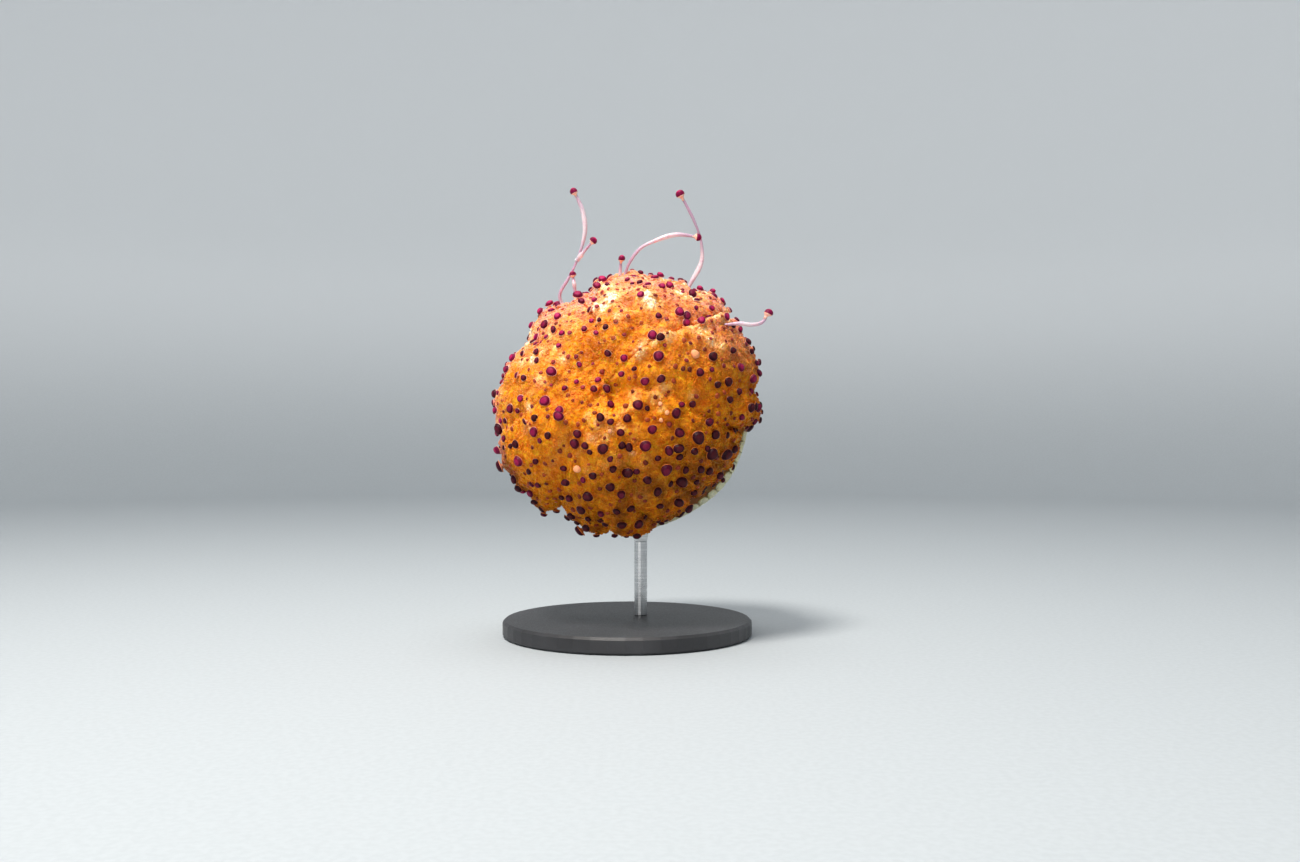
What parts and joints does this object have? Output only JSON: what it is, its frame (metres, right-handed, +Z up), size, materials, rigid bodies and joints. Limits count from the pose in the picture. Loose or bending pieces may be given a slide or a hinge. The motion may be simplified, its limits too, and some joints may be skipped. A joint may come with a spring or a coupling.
{
  "type": "fried egg jellyfish display model",
  "caption": "Fried egg jellyfish held on a round stand, seen from its lobed oral arms with purple buttons; contracted bell behind and long thin filaments above.",
  "frame": {"origin": "middle of the stand's underside, on the surface that it rests on", "axes": "+Z up, -Y towards the viewer of the oral arms, +X to the viewer's right"},
  "size_m": [0.1661, 0.1605, 0.2694],
  "materials": {
    "oral_arms": "soft translucent orange flesh, satin with a wet sheen",
    "buttons": "glossy dark purple with a lighter rim",
    "mouth": "soft brownish orange flesh",
    "filaments": "translucent pinkish white",
    "dome": "smooth translucent orange brown",
    "bell": "smooth translucent greenish cream",
    "stand_steel": "brushed",
    "stand_base": "matte dark grey paint"
  },
  "bodies": {
    "root": {"manubrium": "mouth", "oral_arm_1": "oral_arms", "oral_arm_2": "oral_arms", "oral_arm_3": "oral_arms", "oral_arm_4": "oral_arms", "oral_arm_5": "oral_arms", "oral_arm_6": "oral_arms", "oral_arm_7": "oral_arms", "oral_arm_8": "oral_arms", "filament_1_root": "filaments", "filament_1_tip": "filaments", "filament_2_root": "filaments", "filament_2_tip": "filaments", "filament_3_root": "filaments", "filament_3_tip": "filaments", "filament_4": "filaments", "bell_dome": "dome", "bell_octant_1": "bell", "bell_octant_2": "bell", "bell_octant_3": "bell", "bell_octant_4": "bell", "bell_octant_5": "bell", "bell_octant_6": "bell", "bell_octant_7": "bell", "bell_octant_8": "bell", "stand_cradle": "stand_steel", "stand_rod": "stand_steel", "stand_base": "stand_base"}
  },
  "joints": []
}
